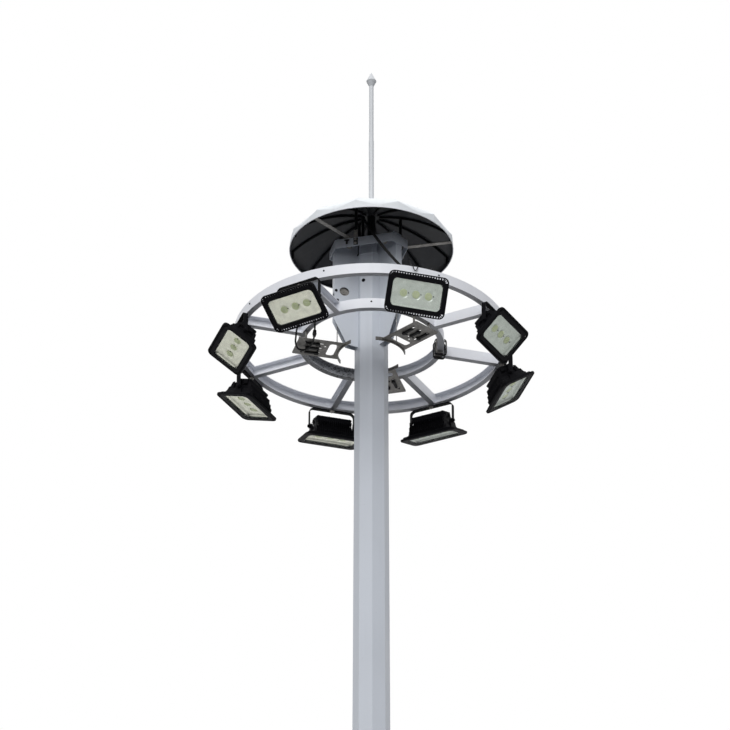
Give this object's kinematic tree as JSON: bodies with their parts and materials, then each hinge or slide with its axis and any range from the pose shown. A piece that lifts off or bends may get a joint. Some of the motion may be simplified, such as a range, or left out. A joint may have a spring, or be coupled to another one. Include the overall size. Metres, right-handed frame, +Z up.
{
  "type": "high mast floodlight tower",
  "caption": "Tall octagonal tapered lighting mast with a petalled hood, a lightning rod and a winch-lowered ring that carries tilting LED floodlights.",
  "frame": {"origin": "centre of the base plate's underside, where the mast is bolted to its foundation", "axes": "+Z up along the pole; -Y towards the side seen in the picture; +X to the right of that view"},
  "size_m": [2.3588, 2.3326, 20.991],
  "materials": {
    "mast_paint": "satin pale grey paint",
    "ring_paint": "satin white-grey paint",
    "hood_paint": "white outside, charcoal inside",
    "dark_trim": "matt black",
    "rod_paint": "satin grey",
    "galvanised": "dull galvanised",
    "rope_wire": "wire rope",
    "cable_rubber": "black sheath",
    "lamp_black": "black powder coat",
    "lamp_glass": "clear front glass over reflectors"
  },
  "bodies": {
    "mast": {"base_plate": "galvanised", "base_gussets": "mast_paint", "pole_lower": "mast_paint", "door_frame": "mast_paint", "service_door": "mast_paint", "pole_upper": "mast_paint", "pole_top_plate": "mast_paint", "head_arms": "mast_paint", "head_band": "mast_paint", "top_sheaves": "galvanised", "sheave_pins": "galvanised", "hood_shell": "hood_paint", "hood_ribs": "dark_trim", "hood_post": "dark_trim", "hood_struts": "galvanised", "lightning_rod": "rod_paint", "rod_finial": "rod_paint", "rope_bends": "rope_wire"},
    "ring_carriage": {"outer_ring": "ring_paint", "inner_ring": "ring_paint", "ring_spokes": "ring_paint", "rope_brackets": "galvanised", "bracket_hangers": "galvanised", "rope_falls": "rope_wire", "supply_cable": "cable_rubber", "lamp_yokes": "lamp_black"},
    "guide_sheave_1": {"guide_sheave_1": "galvanised"},
    "guide_sheave_2": {"guide_sheave_2": "galvanised"},
    "guide_sheave_3": {"guide_sheave_3": "galvanised"},
    "lamp_1": {"lamp_1_housing": "lamp_black", "lamp_1_glass": "lamp_glass"},
    "lamp_2": {"lamp_2_housing": "lamp_black", "lamp_2_glass": "lamp_glass"},
    "lamp_3": {"lamp_3_housing": "lamp_black", "lamp_3_glass": "lamp_glass"},
    "lamp_4": {"lamp_4_housing": "lamp_black", "lamp_4_glass": "lamp_glass"},
    "lamp_5": {"lamp_5_housing": "lamp_black", "lamp_5_glass": "lamp_glass"},
    "lamp_6": {"lamp_6_housing": "lamp_black", "lamp_6_glass": "lamp_glass"},
    "lamp_7": {"lamp_7_housing": "lamp_black", "lamp_7_glass": "lamp_glass"},
    "lamp_8": {"lamp_8_housing": "lamp_black", "lamp_8_glass": "lamp_glass"}
  },
  "joints": [
    {"name": "ring_lower", "type": "slide", "parent": "mast", "child": "ring_carriage", "axis": [0, 0, -1], "range_m": [0, 16.8], "deforming": ["rope_falls", "supply_cable"]},
    {"name": "guide_sheave_1_spin", "type": "hinge", "parent": "mast", "child": "guide_sheave_1", "pos_m": [0.14849, -0.14849, 19.009], "axis": [-0.7071, -0.7071, 0], "continuous": true},
    {"name": "guide_sheave_2_spin", "type": "hinge", "parent": "mast", "child": "guide_sheave_2", "pos_m": [0.05435, 0.20284, 19.009], "axis": [0.9659, -0.2588, 0], "continuous": true},
    {"name": "guide_sheave_3_spin", "type": "hinge", "parent": "mast", "child": "guide_sheave_3", "pos_m": [-0.20284, -0.05435, 19.009], "axis": [-0.2588, 0.9659, 0], "continuous": true},
    {"name": "lamp_1_tilt", "type": "hinge", "parent": "ring_carriage", "child": "lamp_1", "pos_m": [0.87965, -0.47562, 18.445], "axis": [0.4756, 0.8796, 0], "range_deg": [-47, 43]},
    {"name": "lamp_2_tilt", "type": "hinge", "parent": "ring_carriage", "child": "lamp_2", "pos_m": [0.96316, 0.26892, 18.445], "axis": [-0.2689, 0.9632, 0], "range_deg": [-57, 33]},
    {"name": "lamp_3_tilt", "type": "hinge", "parent": "ring_carriage", "child": "lamp_3", "pos_m": [0.44932, 0.89337, 18.445], "axis": [-0.8934, 0.4493, 0], "range_deg": [-70, 20]},
    {"name": "lamp_4_tilt", "type": "hinge", "parent": "ring_carriage", "child": "lamp_4", "pos_m": [-0.29571, 0.95528, 18.445], "axis": [-0.9553, -0.2957, 0], "range_deg": [-75, 15]},
    {"name": "lamp_5_tilt", "type": "hinge", "parent": "ring_carriage", "child": "lamp_5", "pos_m": [-0.88782, 0.4602, 18.445], "axis": [-0.4602, -0.8878, 0], "range_deg": [-73, 17]},
    {"name": "lamp_6_tilt", "type": "hinge", "parent": "ring_carriage", "child": "lamp_6", "pos_m": [-0.94888, -0.31565, 18.445], "axis": [0.3156, -0.9489, 0], "range_deg": [-56, 34]},
    {"name": "lamp_7_tilt", "type": "hinge", "parent": "ring_carriage", "child": "lamp_7", "pos_m": [-0.51354, -0.85806, 18.445], "axis": [0.8581, -0.5135, 0], "range_deg": [-55, 35]},
    {"name": "lamp_8_tilt", "type": "hinge", "parent": "ring_carriage", "child": "lamp_8", "pos_m": [0.29571, -0.95528, 18.445], "axis": [0.9553, 0.2957, 0], "range_deg": [-30, 60]}
  ]
}
